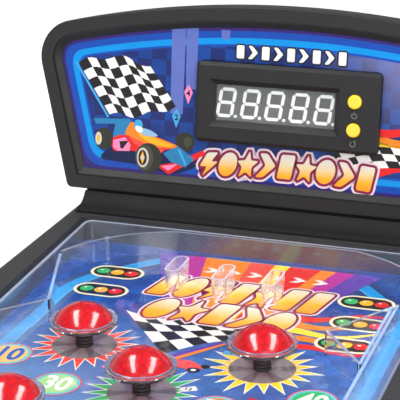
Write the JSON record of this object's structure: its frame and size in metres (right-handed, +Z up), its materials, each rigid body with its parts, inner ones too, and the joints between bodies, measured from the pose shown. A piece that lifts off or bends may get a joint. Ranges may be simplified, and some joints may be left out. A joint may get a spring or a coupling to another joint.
{
  "type": "tabletop pinball machine",
  "caption": "Tabletop pinball machine with sloped playfield, domed bumpers, clear ball guides, flippers, spring plunger and an upright head with a digit display.",
  "frame": {"origin": "on the table under the middle of the machine's box", "axes": "+X to the player's right, +Y from the player towards the head, +Z up"},
  "size_m": [0.3348, 0.5554, 0.2405],
  "materials": {
    "black_plastic": "fine moulded texture",
    "printed_sheet": "printed, clear gloss",
    "printed_panel": "printed, gloss",
    "hardboard": "raw hardboard",
    "clear_plastic": "clear, polished",
    "red_dome": "translucent, polished",
    "black_rubber": "matte",
    "red_plastic": "gloss",
    "blue_plastic": "gloss",
    "steel": "plain",
    "ball_chrome": "polished",
    "cell_metal": "printed sleeve",
    "circuit_board": "solder mask",
    "speaker_black": "paper cone",
    "segment_grey": "milky",
    "yellow_key": "gloss"
  },
  "bodies": {
    "cabinet": {"cabinet_shell": "black_plastic", "top_frame": "black_plastic", "backbox_neck": "black_plastic", "playfield_board": "hardboard", "playfield_sheet": "printed_sheet", "battery_door": "black_plastic", "battery_cells": "cell_metal", "battery_contacts": "steel", "rubber_feet": "black_rubber", "cabinet_screws": "steel", "perimeter_wall": "clear_plastic", "arch_guide": "clear_plastic", "left_deflector": "clear_plastic", "right_deflector": "clear_plastic", "lane_wall": "clear_plastic", "lane_posts": "clear_plastic", "apron": "blue_plastic", "inlane_guides": "blue_plastic", "slingshots": "red_plastic", "bumper_1_stem": "black_rubber", "bumper_2_stem": "black_rubber", "bumper_3_stem": "black_rubber", "bumper_4_stem": "black_rubber", "bumper_5_stem": "black_rubber", "left_button_spring": "steel", "right_button_spring": "steel", "plunger_bush": "black_plastic", "plunger_spring": "steel", "main_board": "circuit_board", "speaker": "speaker_black", "head_front": "black_plastic", "head_rear": "black_plastic", "art_panel": "printed_panel", "display_bezel": "black_plastic", "display_window": "clear_plastic", "display_digits": "segment_grey", "digit_block": "black_plastic", "display_board": "circuit_board", "head_screws": "steel"},
    "bumper_1": {"bumper_1_dish": "clear_plastic", "bumper_1_dome": "red_dome"},
    "bumper_2": {"bumper_2_dish": "clear_plastic", "bumper_2_dome": "red_dome"},
    "bumper_3": {"bumper_3_dish": "clear_plastic", "bumper_3_dome": "red_dome"},
    "bumper_4": {"bumper_4_dish": "clear_plastic", "bumper_4_dome": "red_dome"},
    "bumper_5": {"bumper_5_dish": "clear_plastic", "bumper_5_dome": "red_dome"},
    "left_flipper": {"left_flipper": "red_plastic", "left_crank": "black_plastic"},
    "right_flipper": {"right_flipper": "red_plastic", "right_crank": "black_plastic"},
    "left_flipper_button": {"left_flipper_button": "red_plastic"},
    "right_flipper_button": {"right_flipper_button": "red_plastic"},
    "plunger": {"plunger_rod": "steel", "plunger_knob": "black_plastic"},
    "ball": {"steel_ball": "ball_chrome"},
    "power_button": {"power_button": "yellow_key"},
    "reset_button": {"reset_button": "yellow_key"}
  },
  "joints": [
    {"name": "bumper_1_rock", "type": "hinge", "parent": "cabinet", "child": "bumper_1", "pos_m": [-0.06, 0.05577, 0.07265], "axis": [1, 0, 0], "range_deg": [-3, 3], "stiffness_Nm_per_rad": 0.05},
    {"name": "bumper_2_rock", "type": "hinge", "parent": "cabinet", "child": "bumper_2", "pos_m": [0.044, 0.05577, 0.07265], "axis": [1, 0, 0], "range_deg": [-3, 3], "stiffness_Nm_per_rad": 0.05},
    {"name": "bumper_3_rock", "type": "hinge", "parent": "cabinet", "child": "bumper_3", "pos_m": [-0.008, 0.00895, 0.06855], "axis": [1, 0, 0], "range_deg": [-3, 3], "stiffness_Nm_per_rad": 0.05},
    {"name": "bumper_4_rock", "type": "hinge", "parent": "cabinet", "child": "bumper_4", "pos_m": [-0.06, -0.04285, 0.06402], "axis": [1, 0, 0], "range_deg": [-3, 3], "stiffness_Nm_per_rad": 0.05},
    {"name": "bumper_5_rock", "type": "hinge", "parent": "cabinet", "child": "bumper_5", "pos_m": [0.044, -0.04285, 0.06402], "axis": [1, 0, 0], "range_deg": [-3, 3], "stiffness_Nm_per_rad": 0.05},
    {"name": "left_button_slide", "type": "slide", "parent": "cabinet", "child": "left_flipper_button", "axis": [1, 0, 0], "range_m": [0, 0.00592], "stiffness_N_per_m": 250, "springref_m": -0.003, "deforming": ["left_button_spring"]},
    {"name": "right_button_slide", "type": "slide", "parent": "cabinet", "child": "right_flipper_button", "axis": [-1, 0, 0], "range_m": [0, 0.00592], "stiffness_N_per_m": 250, "springref_m": -0.003, "deforming": ["right_button_spring"]},
    {"name": "left_flipper_turn", "type": "hinge", "parent": "cabinet", "child": "left_flipper", "pos_m": [-0.054, -0.14013, 0.05149], "axis": [0, -0.0872, 0.9962], "range_deg": [0, 50]},
    {"name": "right_flipper_turn", "type": "hinge", "parent": "cabinet", "child": "right_flipper", "pos_m": [0.038, -0.14013, 0.05149], "axis": [0, -0.0872, 0.9962], "range_deg": [-50, 0]},
    {"name": "plunger_pull", "type": "slide", "parent": "cabinet", "child": "plunger", "axis": [0, -0.9962, -0.0872], "range_m": [0, 0.02], "stiffness_N_per_m": 80, "springref_m": -0.012, "deforming": ["plunger_spring"]},
    {"name": "ball_travel", "type": "slide", "parent": "cabinet", "child": "ball", "axis": [0, 0.9962, 0.0872], "range_m": [0, 0.3]},
    {"name": "power_button_push", "type": "slide", "parent": "cabinet", "child": "power_button", "axis": [0, 0.9991, -0.0427], "range_m": [0, 0.0008], "stiffness_N_per_m": 400, "springref_m": -0.0006},
    {"name": "reset_button_push", "type": "slide", "parent": "cabinet", "child": "reset_button", "axis": [0, 0.9991, -0.0427], "range_m": [0, 0.0008], "stiffness_N_per_m": 400, "springref_m": -0.0006}
  ],
  "couplings": [
    {"joint": "left_flipper_turn", "follows": "left_button_slide", "rad_per_m": 147.49},
    {"joint": "right_flipper_turn", "follows": "right_button_slide", "rad_per_m": -147.49}
  ]
}
